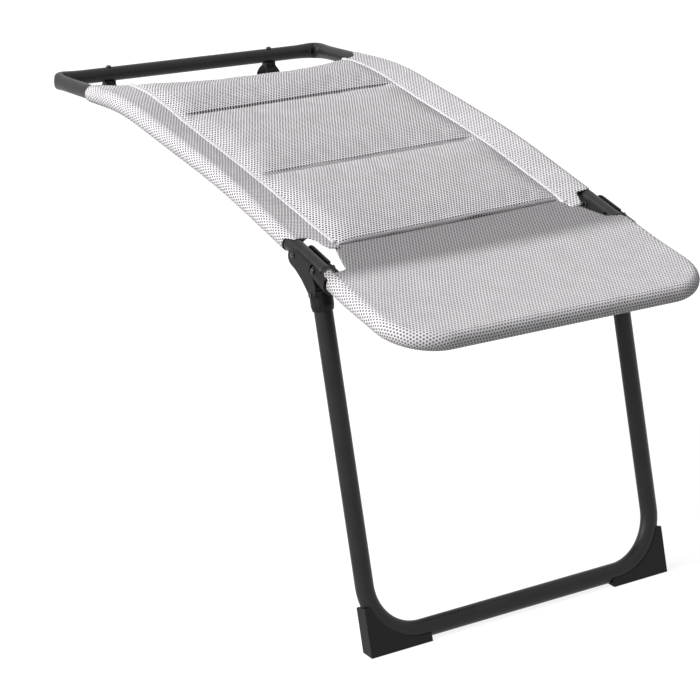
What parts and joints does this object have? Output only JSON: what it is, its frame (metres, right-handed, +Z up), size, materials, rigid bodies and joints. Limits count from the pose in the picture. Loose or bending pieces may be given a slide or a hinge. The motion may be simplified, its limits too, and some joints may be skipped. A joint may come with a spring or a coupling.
{
  "type": "folding footrest",
  "caption": "Clip-on folding leg rest for a camping or patio chair: padded mesh sling on a tube loop, with a folding U leg on corner feet.",
  "frame": {"origin": "on the floor, under the middle of the bounding box of the opened footrest", "axes": "+Z up, +Y towards the chair that it hangs on, +X to the right of someone looking towards the chair"},
  "size_m": [0.435, 0.8622, 0.5255],
  "materials": {
    "coated_tube": "dark grey powder coat on aluminium tube, satin",
    "black_plastic": "moulded black plastic, fine grain",
    "dark_metal": "blackened steel rivets and screws",
    "mesh_cloth": "light grey woven polyester mesh, matt",
    "padded_cloth": "light grey spacer mesh over foam, matt"
  },
  "bodies": {
    "frame": {"rear_frame_tube": "coated_tube", "front_frame_tube": "coated_tube", "joint_spigot_left": "coated_tube", "joint_spigot_right": "coated_tube", "rail_saddle_left": "black_plastic", "rail_saddle_right": "black_plastic", "saddle_rivet_left": "dark_metal", "saddle_rivet_right": "dark_metal", "pivot_rivet_left": "dark_metal", "pivot_rivet_right": "dark_metal", "chair_clip_left": "black_plastic", "chair_clip_right": "black_plastic", "clip_rivet_left": "dark_metal", "clip_rivet_right": "dark_metal", "side_band_left": "mesh_cloth", "side_band_right": "mesh_cloth", "front_cover": "mesh_cloth", "rear_pad": "padded_cloth", "middle_pad": "padded_cloth", "front_pad": "padded_cloth"},
    "leg": {"leg_tube": "coated_tube", "leg_socket_left": "black_plastic", "leg_socket_right": "black_plastic", "socket_rivet_left": "dark_metal", "socket_rivet_right": "dark_metal", "foot_left": "black_plastic", "foot_right": "black_plastic", "foot_screw_left": "dark_metal", "foot_screw_right": "dark_metal"}
  },
  "joints": [
    {"name": "leg_fold", "type": "hinge", "parent": "frame", "child": "leg", "pos_m": [0, -0.21156, 0.42383], "axis": [1, 0, 0], "range_deg": [0, 115]}
  ]
}
